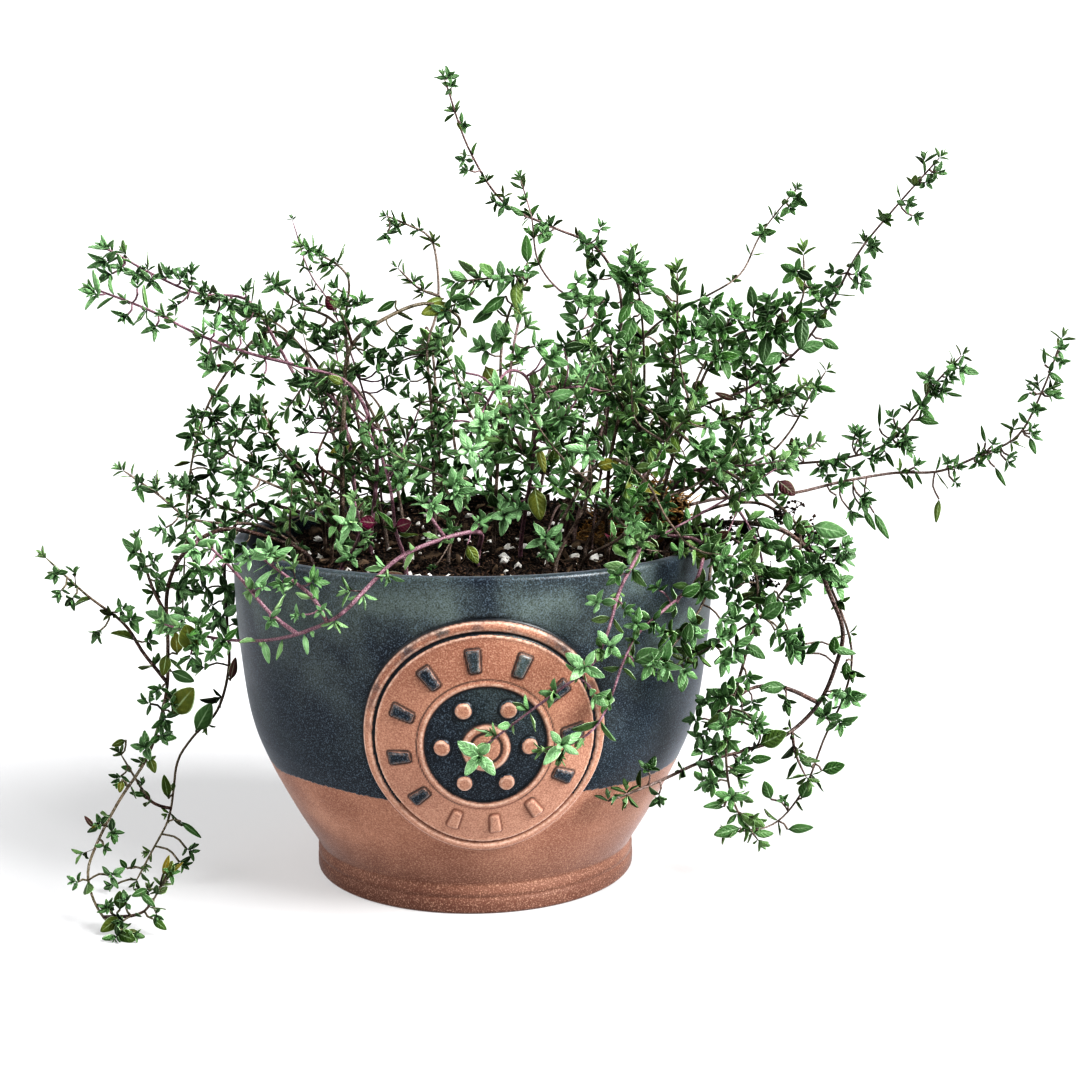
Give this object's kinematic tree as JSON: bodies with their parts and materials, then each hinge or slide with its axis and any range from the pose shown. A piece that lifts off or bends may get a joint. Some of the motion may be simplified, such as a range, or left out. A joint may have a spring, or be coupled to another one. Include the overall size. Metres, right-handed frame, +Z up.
{
  "type": "potted thyme",
  "caption": "Thyme plant with wiry stems of small paired leaves that rise from, arch over and trail beside a half-glazed stoneware bowl of potting soil.",
  "frame": {"origin": "centre of the bowl's flat base, on the surface it stands on", "axes": "+Z up along the bowl's axis, -Y out of the bowl's front, where its round badge is, +X to the right seen from the front"},
  "size_m": [0.2904, 0.1846, 0.2375],
  "materials": {
    "stoneware": "satin",
    "potting_soil": "matte",
    "dry_moss": "matte",
    "thyme": "matte"
  },
  "bodies": {
    "root": {"pot": "stoneware", "soil": "potting_soil", "moss_mat": "dry_moss", "spray_left_pink": "thyme", "spray_left_high": "thyme", "spray_left_upright": "thyme", "spray_thin_purple": "thyme", "spray_brown_loop": "thyme", "spray_mid_upright": "thyme", "spray_tall": "thyme", "spray_thin_tall": "thyme", "spray_mid_leafy": "thyme", "spray_front_fuzzy": "thyme", "spray_grey_arch": "thyme", "spray_pink_mid": "thyme", "spray_right_fall": "thyme", "spray_brown_hoop": "thyme", "spray_thin_hoop": "thyme", "spray_right_leafy_fall": "thyme", "spray_lilac_fall": "thyme", "spray_medal_fall": "thyme", "spray_pink_front": "thyme", "spray_short_fuzzy": "thyme", "spray_purple_curl": "thyme", "spray_left_mid": "thyme", "spray_left_front": "thyme", "spray_long_left_fall": "thyme", "spray_trail_front": "thyme", "spray_trail_back": "thyme", "spray_left_tip": "thyme", "spray_right_far": "thyme", "spray_right_far_low": "thyme", "spray_right_twig": "thyme", "spray_right_high": "thyme", "spray_right_bushy": "thyme", "spray_back_high": "thyme", "spray_crown_back": "thyme", "spray_crown_middle": "thyme", "spray_crown_right": "thyme", "spray_right_short": "thyme", "spray_front_right": "thyme", "spray_front_middle": "thyme", "spray_low_front": "thyme", "spray_lilac_drop": "thyme", "spray_rim_right": "thyme", "spray_left_arch": "thyme", "spray_left_low": "thyme", "spray_front_left": "thyme", "spray_front_bright": "thyme", "spray_back_1": "thyme", "spray_back_2": "thyme", "spray_back_3": "thyme", "spray_back_4": "thyme", "spray_back_5": "thyme", "spray_back_6": "thyme", "spray_back_7": "thyme", "spray_back_8": "thyme", "spray_back_9": "thyme"}
  },
  "joints": []
}
